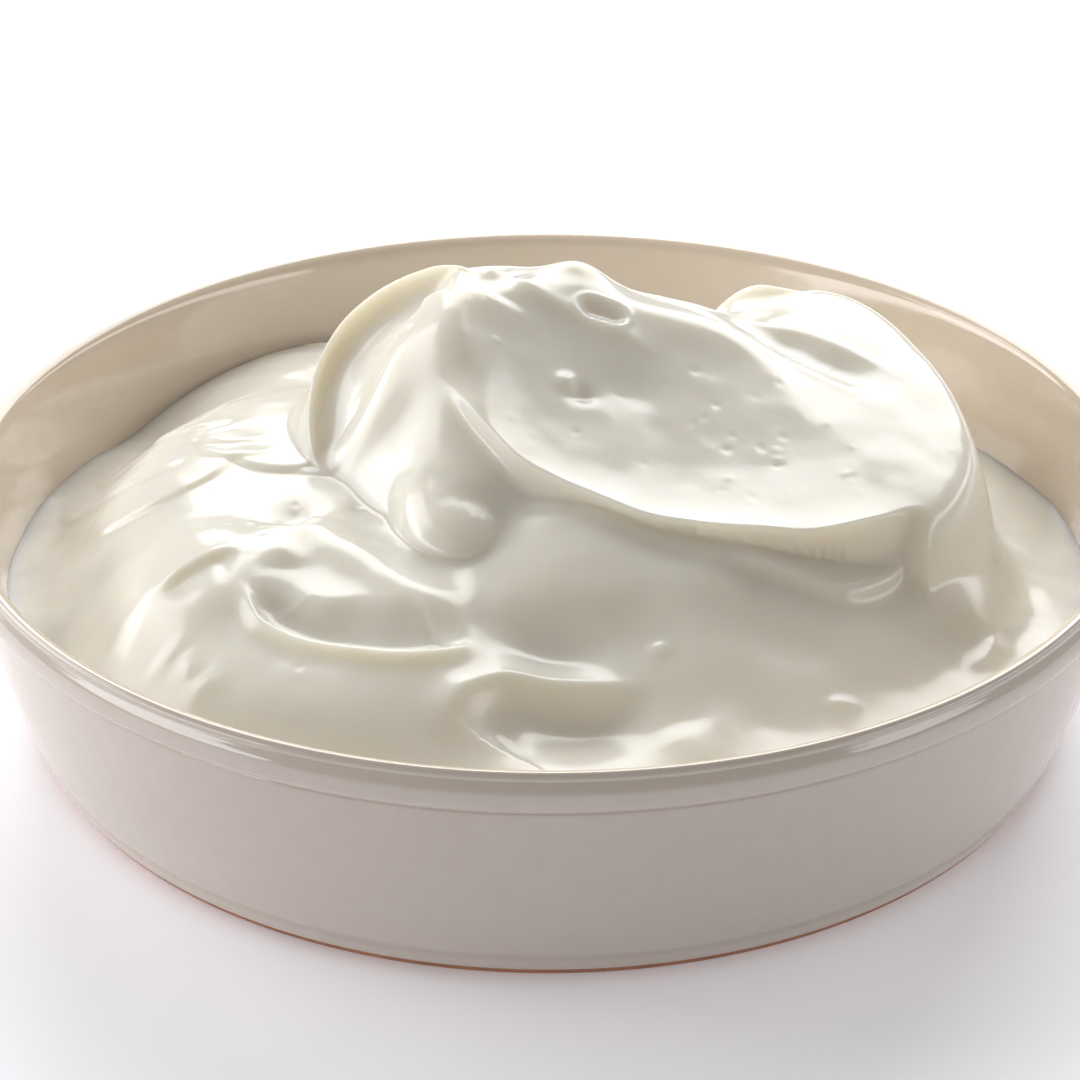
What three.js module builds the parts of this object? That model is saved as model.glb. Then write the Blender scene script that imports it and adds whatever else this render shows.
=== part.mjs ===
import * as THREE from "three";

// A shallow glazed dish heaped with sour cream.
// Millimetres, +Z up, +X to the right. The dish stands on z = 0 with its centre on the Z axis.

// The dish
const RIM_RADIUS = 70;
const DISH_HEIGHT = 30;
const FOOT_RADIUS = 61.2;
const FLOOR_THICKNESS = 4;
const COLLAR_HEIGHT = 5;
const COLLAR_PROUD = 1.1;
const RIM_THICKNESS = 2.5;
const GROOVE_HEIGHT = 3.6;
const GROOVE_DEPTH = 0.3;
const DISH_SIDES = 72;

// The cream
const CREAM_GAP = 0.3;
const CREAM_RINGS = 38;
const UNDERSIDE_SIDES = 76;
const LEVEL_RADIUS = 64;
const LAYER_BLEND = 1.2;
const LAYER_TURNOVER = 1.5;

// Outside of the dish, from the centre of its base up to the top of the rim
function outsideProfile() {
  const collarBottom = DISH_HEIGHT - COLLAR_HEIGHT;
  const neck = RIM_RADIUS - COLLAR_PROUD - 0.4;
  return [
    [0, 0],
    [FOOT_RADIUS, 0],
    [FOOT_RADIUS + 0.9, 0.5],
    [FOOT_RADIUS + 1.6, 1.5],
    [FOOT_RADIUS + 2.2, GROOVE_HEIGHT - 0.8],
    [FOOT_RADIUS + 2.45 - GROOVE_DEPTH, GROOVE_HEIGHT],
    [FOOT_RADIUS + 2.75, GROOVE_HEIGHT + 0.8],
    [FOOT_RADIUS + 4.4, 9.5],
    [FOOT_RADIUS + 5.9, 15.5],
    [FOOT_RADIUS + 6.9, 21],
    [neck, collarBottom - 0.8],
    [neck - 0.1, collarBottom],
    [RIM_RADIUS - 0.75, collarBottom + 0.5],
    [RIM_RADIUS - 0.15, collarBottom + 1.6],
    [RIM_RADIUS, collarBottom + 2.9],
    [RIM_RADIUS - 0.3, DISH_HEIGHT - 0.8],
    [RIM_RADIUS - 0.8, DISH_HEIGHT - 0.15],
    [RIM_RADIUS - 0.5 * RIM_THICKNESS, DISH_HEIGHT],
  ];
}

// Inside of the dish, from the rim down to the centre of its floor
function insideProfile() {
  const mouth = RIM_RADIUS - RIM_THICKNESS;
  return [
    [mouth + 0.5, DISH_HEIGHT - 0.3],
    [mouth, DISH_HEIGHT - 1],
    [mouth - 0.7, DISH_HEIGHT - 3.2],
    [mouth - 1.6, DISH_HEIGHT - 6.5],
    [mouth - 2.7, DISH_HEIGHT - 10.5],
    [mouth - 3.8, DISH_HEIGHT - 14.5],
    [mouth - 5.2, DISH_HEIGHT - 18.5],
    [mouth - 7.6, DISH_HEIGHT - 22],
    [mouth - 11.4, FLOOR_THICKNESS + 1.5],
    [mouth - 16, FLOOR_THICKNESS + 0.3],
    [mouth - 20, FLOOR_THICKNESS],
    [0, FLOOR_THICKNESS],
  ];
}

// Turns a profile that starts and ends on the axis into a closed solid
function revolve(profile, sides) {
  const places = [];
  const faces = [];
  const rows = profile.map(([radius, height]) => {
    const first = places.length / 3;
    const count = radius === 0 ? 1 : sides;
    for (let i = 0; i < count; i += 1) {
      const angle = (2 * Math.PI * i) / sides;
      places.push(radius * Math.cos(angle), radius * Math.sin(angle), height);
    }
    return { first, count };
  });
  for (let k = 0; k + 1 < rows.length; k += 1) {
    const below = rows[k];
    const above = rows[k + 1];
    for (let i = 0; i < sides; i += 1) {
      const next = (i + 1) % sides;
      if (below.count > 1) {
        faces.push(below.first + i, below.first + next, above.first + (above.count > 1 ? i : 0));
      }
      if (above.count > 1) {
        faces.push(above.first + i, below.first + (below.count > 1 ? next : 0), above.first + next);
      }
    }
  }
  return solid(places, faces);
}

function solid(places, faces) {
  const geometry = new THREE.BufferGeometry();
  geometry.setAttribute("position", new THREE.Float32BufferAttribute(places, 3));
  geometry.setIndex(faces);
  geometry.computeVertexNormals();
  return geometry;
}

// Moves a profile sideways by a distance, to its left as it runs
function offsetProfile(profile, distance) {
  return profile.map(([radius, height], i) => {
    const before = profile[Math.max(i - 1, 0)];
    const after = profile[Math.min(i + 1, profile.length - 1)];
    const run = Math.hypot(after[0] - before[0], after[1] - before[1]);
    const left = [-(after[1] - before[1]) / run, (after[0] - before[0]) / run];
    return [Math.max(radius + distance * left[0], 0), height + distance * left[1]];
  });
}

// Radius of a profile at a height
function radiusAt(profile, height) {
  for (let i = 0; i + 1 < profile.length; i += 1) {
    const [upperRadius, upperHeight] = profile[i];
    const [lowerRadius, lowerHeight] = profile[i + 1];
    if (height <= upperHeight && height >= lowerHeight && upperHeight > lowerHeight) {
      const share = (height - lowerHeight) / (upperHeight - lowerHeight);
      return lowerRadius + share * (upperRadius - lowerRadius);
    }
  }
  return profile[0][0];
}

// Heights of the cream below are measured from the top of the rim.
// Each dollop is a rounded heap: centre, radii, turn in degrees, height at its centre, fall at its radii,
// rise to the right and to the back, power of its fall and the width over which it blends into the others.
const UPPER_DOLLOPS = [
  { x: -5, y: 5, rx: 24, ry: 19.5, turn: 0, top: 19.5, fall: 14, right: 0, back: 0, power: 1.5, blend: 2 },
  { x: 6, y: 0, rx: 30, ry: 30, turn: 0, top: 16.3, fall: 14, right: 0, back: 0, power: 1.5, blend: 2 },
  { x: 18, y: -20, rx: 13, ry: 11, turn: 0, top: 9, fall: 6, right: 0, back: 0, power: 2, blend: 1 },
  {
    x: -9.8, y: -19, rx: 8.2, ry: 12, turn: 14, top: 7, fall: 6.5, right: 0.05, back: 0.06,
    power: 3, blend: 1.8,
  },
];
const LOWER_DOLLOPS = [
  { x: 14, y: -14, rx: 41, ry: 42, turn: 0, top: 5.4, fall: 19, right: 0, back: 0, power: 1, blend: 3 },
  { x: 4, y: -17, rx: 22, ry: 24, turn: 0, top: 5, fall: 10, right: 0, back: 0, power: 1, blend: 4 },
  { x: 38, y: -16, rx: 16.5, ry: 20, turn: 0, top: 1.5, fall: 12, right: 0, back: 0, power: 1, blend: 2 },
  { x: -20, y: -32, rx: 28, ry: 27, turn: 0, top: 0.5, fall: 9, right: 0, back: 0, power: 1.5, blend: 4 },
  { x: -32, y: -2, rx: 22, ry: 32, turn: -10, top: 1, fall: 9, right: 0, back: 0, power: 1.5, blend: 5 },
  { x: -28, y: 36, rx: 20, ry: 20, turn: 0, top: -8.2, fall: 4, right: 0, back: 0, power: 1.5, blend: 4 },
];

// The lobe on the right: a gently bowed sheet of cream, rounded off all round by an oval longer at its back
const SHEET = { x: 35, y: 25, top: 12, acrossBow: 60, alongBow: 195, right: -0.05 };
const LOBE = { x: 30, y: -8, rx: 21.4, ry: 23.5, turn: 0, top: 17, fall: 18, right: 0, back: 0, power: 2.2 };
const LOBE_BACK_RADIUS = 43;
const LOBE_BLEND = 1.5;
const LOBE_JOIN = 2;

// The big face in front, hollow like the bowl of a spoon: place and height of its lowest point, and its bows
const SPOON = { x: 27, y: -27, low: 5.3, acrossBow: 130, alongBow: 90, back: 0.14, twist: 0.0012 };
const SPOON_EDGE = 0.8;

// The bed the dollops lie on: lower at the back than at the front, a little fuller in the middle
const BED_BACK = -16.6;
const BED_FRONT_RISE = 8;
const BED_MIDDLE_RISE = 4.5;

// Lips of the spoon marks, as smooth curves through these points
const BIG_LIP = [
  [-12.6, -9], [-9.1, -13.5], [-5.9, -17.4], [-2.3, -20.6], [5.7, -24.2], [11.2, -26.5], [18.8, -27.8],
  [26.4, -28], [31.4, -27.3], [36.4, -25.5], [40.2, -23.6], [43, -23.2],
];
const CREST = [[-5, 7.5], [-1.4, 4.3], [2.4, 2.6], [9.4, -0.2], [14, -2.5]];
const HOLLOW_LIP = [
  [-26.5, -15.5], [-23.8, -18.8], [-19.6, -22.5], [-15.5, -26.3], [-11.3, -29.3], [-7.3, -30], [-4, -27.5],
];
const THIRD_LIP = [
  [-32.9, -34], [-31.5, -38.4], [-29.7, -41.1], [-24.9, -44.1], [-17.2, -45.6], [-11.2, -44.9], [-7.2, -42.1],
];
const LEFT_EDGE = [
  [-7, 7.5], [-13, 10.5], [-19.5, 10], [-24.8, 7], [-27.3, 2], [-27.6, -4.5], [-25.2, -11],
];
const BAND = [[-10.3, 4], [-11.8, -2.5], [-11.9, -8], [-11.4, -13.5], [-10, -19], [-8.4, -24]];
const RIGHT_VALLEY = [[16, 12], [21, 9.5], [29, 6], [36, 1], [41, -3.5]];
const THIRD_CREST = [[-29, -18.5], [-24.5, -25.5], [-20, -30.5], [-13.5, -36.5], [-7, -39.5]];
const FRONT_FOLD = [
  [-11.3, -53.5], [-10.6, -51.5], [-8.1, -48.8], [-4.1, -46.6], [0.6, -46.2], [7.3, -45.8], [11.9, -45.2],
];
const BACK_LIP = [[34, 20], [22, 25], [8, 28], [-6, 27], [-17, 21]];
const BACK_FOLD = [[42, 34], [26, 46], [6, 50], [-14, 48]];
const RIGHT_FOLD = [[50, -30], [57, -12], [57, 8], [50, 24]];
const CHUNK_LIP = [[-44, -32.8], [-40.3, -30.6], [-36.8, -28.9], [-33, -28.2]];
const FLAP_LIP = [
  [19.3, -30.3], [24.1, -30.3], [28, -31], [32.4, -31.2], [37, -28], [42, -22.5],
];

// Strokes on the upper heap. A size given as a list changes evenly from one end of the stroke to the other.
const UPPER_STROKES = [
  {
    work: spoonMark, path: BIG_LIP, ends: [0.12, 0.2], face: 12, depth: 0,
    lip: [0.3, 0.5, 0.6, 0.8, 0.7, 0.3],
    curl: 2.2, drop: [0.8, 2, 8, 22, 24, 14], reach: [5, 7, 14, 22, 24, 16], sharp: 1.2,
    over: [0.2, 0.5, 0.9, 1.2, 1.2, 0.5],
  },
  { work: ridge, path: CREST, ends: [0.15, 0.3], height: 0.7, left: 4, right: 1.6 },
  {
    work: spoonMark, path: LEFT_EDGE, ends: [0.2, 0.15], face: [6, 11, 14, 13, 10],
    depth: [1.2, 3, 3.8, 3.6, 2.6], lip: [0.5, 1.4, 2, 1.9, 1], curl: 2.2,
    drop: 0.4, reach: 3, sharp: 1.3, over: 0.2,
  },
  { work: roll, path: BAND, ends: [0.06, 0.12], height: [1.3, 1.8, 1.5, 0.3], left: 5.5, right: 3.4 },
  {
    work: spoonMark, path: HOLLOW_LIP, ends: [0.2, 0.2], face: 7, depth: [0.6, 0.4, 0, 0],
    lip: [0.8, 0.7, 0.3, 0.3], curl: 2, drop: 5, reach: 8, sharp: 1.3, over: 0.5,
  },
  {
    work: spoonMark, path: BACK_LIP, ends: [0.2, 0.2], face: [10, 14, 14, 10], depth: 1.8, lip: 0.6,
    curl: 2.5, drop: 2.2, reach: 6, sharp: 1, over: 0.3,
  },
  { work: furrow, path: RIGHT_VALLEY, ends: [0.3, 0.3], depth: 0.8, width: 3, edge: 0 },
  { work: knob, x: 4, y: 11.5, rx: 4.2, ry: 3.2, turn: 0, height: 2, power: 2 },
  { work: knob, x: 6.2, y: 3, rx: 2.3, ry: 2.3, turn: 0, height: -1.3, power: 2 },
];

// Strokes on the lower cream round the heap
const LOWER_STROKES = [
  {
    work: spoonMark, path: THIRD_LIP, ends: [0.15, 0.15], face: [6, 7, 9, 9, 7],
    depth: [1, 1.8, 2.2, 2, 1.2], lip: 0.35, curl: 1.6,
    drop: [0.5, 0.6, 0.5, 0.3], reach: 6, sharp: 1.3, over: 0.15,
  },
  {
    work: spoonMark, path: BACK_FOLD, ends: [0.25, 0.25], face: 10, depth: 0.8, lip: 0.8, curl: 2.5,
    drop: 0.8, reach: 5, sharp: 1.4, over: 0.2,
  },
  { work: roll, path: RIGHT_FOLD, ends: [0.3, 0.3], height: 0.4, left: 6, right: 5 },
  { work: roll, path: THIRD_CREST, ends: [0.2, 0.2], height: 1.1, left: 3.4, right: 2.6 },
  {
    work: spoonMark, path: FRONT_FOLD, ends: [0.3, 0.3], face: 7, depth: 0.3, lip: 0.8, curl: 2.6,
    drop: 2.2, reach: 7, sharp: 2, over: 0.2,
  },
  {
    work: spoonMark, path: FLAP_LIP, ends: [0.15, 0.25], face: 5.5, depth: 0.4, lip: 0.8, curl: 2,
    drop: 1.2, reach: 6, sharp: 0.8, over: 0.4,
  },
  {
    work: spoonMark, path: CHUNK_LIP, ends: [0.3, 0.3], face: 5, depth: 0, lip: 0.4, curl: 2,
    drop: 0.8, reach: 5, sharp: 1.3, over: 0.2,
  },
  { work: knob, x: -39, y: -29, rx: 9, ry: 9.5, turn: 25, height: 2.4, power: 3 },
  { work: knob, x: 1.5, y: -41, rx: 8.5, ry: 3.4, turn: 4, height: -2, power: 2 },
  { work: knob, x: 2.5, y: -52, rx: 10, ry: 3.5, turn: 4, height: -0.8, power: 2 },
  { work: knob, x: -9.6, y: -51, rx: 2.6, ry: 3.6, turn: -20, height: 0.9, power: 2 },
  { work: knob, x: 24, y: -38.5, rx: 9, ry: 4, turn: -8, height: -1.2, power: 2 },
];

// Lips along which the faces of the cream are drawn closer together, by a share and over a width,
// with the nearest corners set on the lip itself
const GATHERED_LIPS = [
  { path: BIG_LIP, share: 0.65, width: 2.6 },
  { path: HOLLOW_LIP, share: 0.5, width: 2.2 },
  { path: THIRD_LIP, share: 0.5, width: 2.2 },
  { path: LEFT_EDGE, share: 0.45, width: 2.6 },
  { path: BACK_LIP, share: 0.5, width: 2.2 },
];
const GATHER_ENDS = [0.06, 0.06];
const RING_SPACING = LEVEL_RADIUS / CREAM_RINGS;
const SET_ON_LIP = 0.4;

function smoothMax(a, b, width) {
  return 0.5 * (a + b + Math.hypot(a - b, width));
}

function smoothMin(a, b, width) {
  return -smoothMax(-a, -b, width);
}

function ease(share) {
  const t = Math.min(Math.max(share, 0), 1);
  return t * t * (3 - 2 * t);
}

// A size at a share of the way along a stroke
function sizeAt(size, share) {
  if (!Array.isArray(size)) return size;
  const place = Math.min(Math.max(share, 0), 1) * (size.length - 1);
  const first = Math.min(Math.floor(place), size.length - 2);
  return size[first] + (place - first) * (size[first + 1] - size[first]);
}

// Strength of a stroke, dying away over a share of its length at each end
function fade(share, [start, end]) {
  const rising = start > 0 ? ease(share / start) : 1;
  const falling = end > 0 ? ease((1 - share) / end) : 1;
  return rising * falling;
}

// A smooth curve through a few points, as closely spaced stations with directions and distances along it
const STATIONS_PER_SPAN = 14;
const traced = new Map();

function trace(points) {
  if (traced.has(points)) return traced.get(points);
  const last = points.length - 1;
  const before = [2 * points[0][0] - points[1][0], 2 * points[0][1] - points[1][1]];
  const after = [2 * points[last][0] - points[last - 1][0], 2 * points[last][1] - points[last - 1][1]];
  const held = [before, ...points, after];
  const stations = [];
  for (let i = 1; i + 2 < held.length; i += 1) {
    for (let j = 0; j < STATIONS_PER_SPAN; j += 1) {
      stations.push([0, 1].map((axis) => spline(held, i, axis, j / STATIONS_PER_SPAN)));
    }
  }
  stations.push(points[last]);
  let run = 0;
  const curve = stations.map((place, i) => {
    const from = stations[Math.max(i - 1, 0)];
    const to = stations[Math.min(i + 1, stations.length - 1)];
    const length = Math.hypot(to[0] - from[0], to[1] - from[1]);
    run += Math.hypot(place[0] - from[0], place[1] - from[1]);
    return { x: place[0], y: place[1], tx: (to[0] - from[0]) / length, ty: (to[1] - from[1]) / length, run };
  });
  const result = { curve, length: run };
  traced.set(points, result);
  return result;
}

function spline(held, i, axis, t) {
  const [a, b, c, d] = [held[i - 1][axis], held[i][axis], held[i + 1][axis], held[i + 2][axis]];
  const square = 2 * a - 5 * b + 4 * c - d;
  const cube = 3 * b - a - 3 * c + d;
  return 0.5 * (2 * b + (c - a) * t + square * t * t + cube * t * t * t);
}

// Where a point lies beside a curve: distance to its left, share along it, and the direction to its left
function beside(points, x, y) {
  const { curve, length } = trace(points);
  let nearest = curve[0];
  let least = Infinity;
  for (const station of curve) {
    const gap = (x - station.x) ** 2 + (y - station.y) ** 2;
    if (gap < least) {
      least = gap;
      nearest = station;
    }
  }
  const dx = x - nearest.x;
  const dy = y - nearest.y;
  const left = [-nearest.ty, nearest.tx];
  const share = (nearest.run + dx * nearest.tx + dy * nearest.ty) / length;
  return { distance: dx * left[0] + dy * left[1], share, left, length };
}

// A spoon mark: a hollow face on the left of its lip and a drop on the right, the lip pushed out over it
// Brings the deepest point of a hollow face, a third of the way across it, to its full depth
const HOLLOW_SCALE = 6.75;
const OVERHANG_REACH = 2.4;
const OVERHANG_EDGE = 0.8;

function spoonMark(stroke, x, y) {
  const { distance, share, left } = beside(stroke.path, x, y);
  const strength = fade(share, stroke.ends);
  const depth = sizeAt(stroke.depth, share);
  const lip = sizeAt(stroke.lip, share);
  const drop = sizeAt(stroke.drop, share);
  let rise;
  if (distance >= 0) {
    const across = Math.min(distance / sizeAt(stroke.face, share), 1);
    const hollow = HOLLOW_SCALE * across * (1 - across) ** 2;
    rise = lip * Math.exp(-distance / stroke.curl) - depth * hollow;
  } else {
    const edge = (lip + drop) * Math.exp(-((distance / stroke.sharp) ** 2));
    rise = edge - drop * Math.exp(-((distance / sizeAt(stroke.reach, share)) ** 2));
  }
  const nearLip = distance / (distance >= 0 ? OVERHANG_REACH : OVERHANG_EDGE * stroke.sharp);
  const push = -sizeAt(stroke.over, share) * strength * Math.exp(-nearLip * nearLip);
  return { rise: rise * strength, x: push * left[0], y: push * left[1] };
}

// A raised line that falls away over its two widths
const CREST_SOFTNESS = 0.14;
const CREST_FALL = 1.7;

function ridge(stroke, x, y) {
  const { distance, share } = beside(stroke.path, x, y);
  const across = distance >= 0 ? distance / stroke.left : -distance / stroke.right;
  const fall = Math.hypot(across, CREST_SOFTNESS) - CREST_SOFTNESS;
  const rise = sizeAt(stroke.height, share) * fade(share, stroke.ends) * Math.exp(-CREST_FALL * fall);
  return { rise, x: 0, y: 0 };
}

// A round-backed roll of cream along a line
function roll(stroke, x, y) {
  const { distance, share } = beside(stroke.path, x, y);
  const across = distance / (distance >= 0 ? stroke.left : stroke.right);
  const rise = sizeAt(stroke.height, share) * fade(share, stroke.ends) * Math.exp(-across * across);
  return { rise, x: 0, y: 0 };
}

// A groove with round ends and raised edges
const EDGE_PLACE = 1.2;
const EDGE_WIDTH = 0.3;
const GROOVE_FALL = 1.5;

function furrow(stroke, x, y) {
  const { distance, share, length } = beside(stroke.path, x, y);
  const past = Math.max(-share, share - 1, 0) * length;
  const across = Math.hypot(distance, past) / sizeAt(stroke.width, share);
  const strength = fade(Math.min(Math.max(share, 0), 1), stroke.ends);
  const edge = stroke.edge * Math.exp(-(((across - EDGE_PLACE) / EDGE_WIDTH) ** 2));
  return { rise: strength * (edge - stroke.depth * Math.exp(-GROOVE_FALL * across * across)), x: 0, y: 0 };
}

// A rounded knob, or a dent when its height is negative
function knob(stroke, x, y) {
  const reach = turnedReach(stroke, x, y);
  return { rise: stroke.height * Math.exp(-(reach ** (stroke.power / 2))), x: 0, y: 0 };
}

// Squared distance from the centre of an oval, 1 on its outline
function turnedReach(oval, x, y) {
  const turn = THREE.MathUtils.degToRad(oval.turn);
  const dx = x - oval.x;
  const dy = y - oval.y;
  const u = (dx * Math.cos(turn) + dy * Math.sin(turn)) / oval.rx;
  const v = (dy * Math.cos(turn) - dx * Math.sin(turn)) / oval.ry;
  return u * u + v * v;
}

function dollop(heap, x, y) {
  const lean = heap.right * (x - heap.x) + heap.back * (y - heap.y);
  return heap.top + lean - heap.fall * turnedReach(heap, x, y) ** heap.power;
}

function lobe(x, y) {
  const dx = x - SHEET.x;
  const dy = y - SHEET.y;
  const bow = (dx * dx) / (2 * SHEET.acrossBow) + (dy * dy) / (2 * SHEET.alongBow);
  const oval = y < LOBE.y ? LOBE : { ...LOBE, ry: LOBE_BACK_RADIUS };
  return smoothMin(SHEET.top + SHEET.right * dx - bow, dollop(oval, x, y), LOBE_BLEND);
}

function spoonFace(x, y) {
  const dx = x - SPOON.x;
  const dy = y - SPOON.y;
  const bow = (dx * dx) / (2 * SPOON.acrossBow) + (dy * dy) / (2 * SPOON.alongBow);
  return SPOON.low + SPOON.back * dy - SPOON.twist * dx * dy + bow;
}

function bed(x, y) {
  const fromMiddle = Math.min(Math.hypot(x, y) / LEVEL_RADIUS, 1);
  const towardFront = 0.5 - (0.5 * y) / LEVEL_RADIUS;
  return BED_BACK + BED_FRONT_RISE * towardFront + BED_MIDDLE_RISE * (1 - fromMiddle * fromMiddle);
}

// Dollops run together over what they lie on
function heaped(start, dollops, x, y) {
  return dollops.reduce((height, heap) => smoothMax(height, dollop(heap, x, y), heap.blend), start);
}

function upperForm(x, y) {
  const heap = smoothMax(heaped(-DISH_HEIGHT, UPPER_DOLLOPS, x, y), lobe(x, y), LOBE_JOIN);
  return smoothMin(heap, spoonFace(x, y), SPOON_EDGE);
}

function lowerForm(x, y) {
  return heaped(bed(x, y), LOWER_DOLLOPS, x, y);
}

// A layer of cream after the spoon's strokes, with the sideways push of its lips
function worked(form, strokes, x, y) {
  let height = form;
  let dx = 0;
  let dy = 0;
  for (const stroke of strokes) {
    const mark = stroke.work(stroke, x, y);
    height += mark.rise;
    dx += mark.x;
    dy += mark.y;
  }
  return { height, dx, dy };
}

// The place on the cream's surface that belongs to a point of the flat disc
function surface(flatX, flatY) {
  let x = flatX;
  let y = flatY;
  for (const { path, share, width } of GATHERED_LIPS) {
    const near = beside(path, x, y);
    const strength = fade(near.share, GATHER_ENDS);
    const closeness = strength * share * Math.exp(-((near.distance / width) ** 2));
    let pull = -near.distance * closeness;
    const reach = SET_ON_LIP * (1 - share) * RING_SPACING * strength;
    if (Math.abs(near.distance + pull) < reach) pull = -near.distance;
    x += pull * near.left[0];
    y += pull * near.left[1];
  }
  const upper = worked(upperForm(x, y), UPPER_STROKES, x, y);
  const lower = worked(lowerForm(x, y), LOWER_STROKES, x, y);
  const share = ease(0.5 + (upper.height - lower.height) / LAYER_TURNOVER);
  return {
    x: x + upper.dx * share + lower.dx * (1 - share),
    y: y + upper.dy * share + lower.dy * (1 - share),
    z: DISH_HEIGHT + smoothMax(upper.height, lower.height, LAYER_BLEND),
  };
}

// The cream: a disc of rings of triangles over a plain underside that follows the dish with a thin gap
function cream() {
  const wall = offsetProfile(insideProfile(), -CREAM_GAP);
  const places = [0, 0, surface(0, 0).z];
  const faces = [];
  const firstOfRing = (ring) => (ring === 0 ? 0 : 1 + 3 * ring * (ring - 1));
  for (let ring = 1; ring <= CREAM_RINGS; ring += 1) {
    for (let i = 0; i < 6 * ring; i += 1) {
      const angle = (2 * Math.PI * i) / (6 * ring);
      const level = surface(LEVEL_RADIUS * Math.cos(angle), LEVEL_RADIUS * Math.sin(angle)).z;
      const radius = (radiusAt(wall, level) * ring) / CREAM_RINGS;
      const spot = surface(radius * Math.cos(angle), radius * Math.sin(angle));
      if (ring === CREAM_RINGS) {
        const edge = radiusAt(wall, spot.z);
        places.push(edge * Math.cos(angle), edge * Math.sin(angle), spot.z);
      } else {
        places.push(spot.x, spot.y, spot.z);
      }
    }
  }
  for (let ring = 1; ring <= CREAM_RINGS; ring += 1) {
    const outer = firstOfRing(ring);
    const inner = firstOfRing(ring - 1);
    for (let side = 0; side < 6; side += 1) {
      for (let i = 0; i < ring; i += 1) {
        const near = inner + (ring === 1 ? 0 : (side * (ring - 1) + i) % (6 * (ring - 1)));
        const here = outer + side * ring + i;
        const next = outer + ((side * ring + i + 1) % (6 * ring));
        faces.push(near, here, next);
        if (i + 1 < ring) faces.push(near, next, inner + ((side * (ring - 1) + i + 1) % (6 * (ring - 1))));
      }
    }
  }
  addUnderside(wall, places, faces, firstOfRing(CREAM_RINGS));
  return solid(places, faces);
}

// Closes the cream below its edge, with fewer sides than the edge has
const UNDERSIDE_TOP = 14;

function addUnderside(wall, places, faces, edge) {
  const perSide = (6 * CREAM_RINGS) / UNDERSIDE_SIDES;
  const edgeCount = 6 * CREAM_RINGS;
  const lowerWall = wall.filter(([, height]) => height < UNDERSIDE_TOP);
  const rows = [[radiusAt(wall, UNDERSIDE_TOP), UNDERSIDE_TOP], ...lowerWall];
  let above = 0;
  rows.forEach(([radius, height], k) => {
    const first = places.length / 3;
    const count = k === rows.length - 1 ? 1 : UNDERSIDE_SIDES;
    for (let i = 0; i < count; i += 1) {
      const angle = (2 * Math.PI * i) / UNDERSIDE_SIDES;
      const reach = count === 1 ? 0 : radius;
      places.push(reach * Math.cos(angle), reach * Math.sin(angle), height);
    }
    for (let i = 0; i < UNDERSIDE_SIDES; i += 1) {
      const next = (i + 1) % UNDERSIDE_SIDES;
      if (k === 0) {
        for (let j = 0; j < perSide; j += 1) {
          const held = first + (2 * j < perSide ? i : next);
          faces.push(edge + perSide * i + j, held, edge + ((perSide * i + j + 1) % edgeCount));
        }
        faces.push(first + i, first + next, edge + perSide * i + Math.ceil(perSide / 2));
      } else if (count === 1) {
        faces.push(above + next, above + i, first);
      } else {
        faces.push(above + i, first + i, first + next, above + i, first + next, above + next);
      }
    }
    above = first;
  });
}

function piece(name, geometry, colour, roughness) {
  const material = new THREE.MeshStandardMaterial({ color: colour, roughness, metalness: 0 });
  const mesh = new THREE.Mesh(geometry, material);
  mesh.name = name;
  return mesh;
}

const part = new THREE.Group();
part.name = "bowl_of_sour_cream";
part.add(piece("bowl", revolve([...outsideProfile(), ...insideProfile()], DISH_SIDES), 0xd8cbb8, 0.25));
part.add(piece("sour_cream", cream(), 0xf5f3ea, 0.3));

export default part;
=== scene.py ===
import math

import bpy
import numpy as np
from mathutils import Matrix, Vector


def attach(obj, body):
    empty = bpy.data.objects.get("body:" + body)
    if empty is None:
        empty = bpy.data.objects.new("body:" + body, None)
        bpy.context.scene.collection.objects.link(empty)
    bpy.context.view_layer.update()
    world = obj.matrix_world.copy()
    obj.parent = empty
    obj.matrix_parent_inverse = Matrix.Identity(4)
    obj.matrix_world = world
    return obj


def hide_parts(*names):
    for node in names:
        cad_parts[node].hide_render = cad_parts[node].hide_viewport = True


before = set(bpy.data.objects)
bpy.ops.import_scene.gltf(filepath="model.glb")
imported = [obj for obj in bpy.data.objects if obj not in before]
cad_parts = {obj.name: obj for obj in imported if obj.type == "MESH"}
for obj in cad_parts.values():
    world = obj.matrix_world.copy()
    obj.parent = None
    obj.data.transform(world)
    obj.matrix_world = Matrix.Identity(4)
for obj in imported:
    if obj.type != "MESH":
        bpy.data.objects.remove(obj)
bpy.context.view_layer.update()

MM = 0.001

# The dish, in millimetres, as in the part's source
RIM_RADIUS = 70.0
DISH_HEIGHT = 30.0
FOOT_RADIUS = 61.2
FLOOR_THICKNESS = 4.0
COLLAR_HEIGHT = 5.0
COLLAR_PROUD = 1.1
RIM_THICKNESS = 2.5
GROOVE_HEIGHT = 3.6
GROOVE_DEPTH = 0.3
CLAY_HEIGHT = 1.5
# Nearer to the middle than this, all that isn't bare clay gets the inside copy of the glaze, lighter and more
# tan with painted warm bounce light
INSIDE_RADIUS = 61.0

# Fineness of the meshes
DISH_SIDES = 240
PROFILE_STATIONS = 6
STROKE_STATIONS = 14
CREAM_RINGS = 178
UNDERSIDE_SIDES = 89
UNDERSIDE_TOP = 14.0
WALL_CONTACT = 0.02
# Places worked on at a time, to keep the memory small
BATCH = 20000

# The cream, measured from the top of the rim
LEVEL_RADIUS = 64.0
LAYER_BLEND = 1.0
LAYER_CHANGE = 1.5
BED_BACK = -16.6
BED_FRONT_RISE = 8.0
BED_MIDDLE_RISE = 4.5


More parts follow.
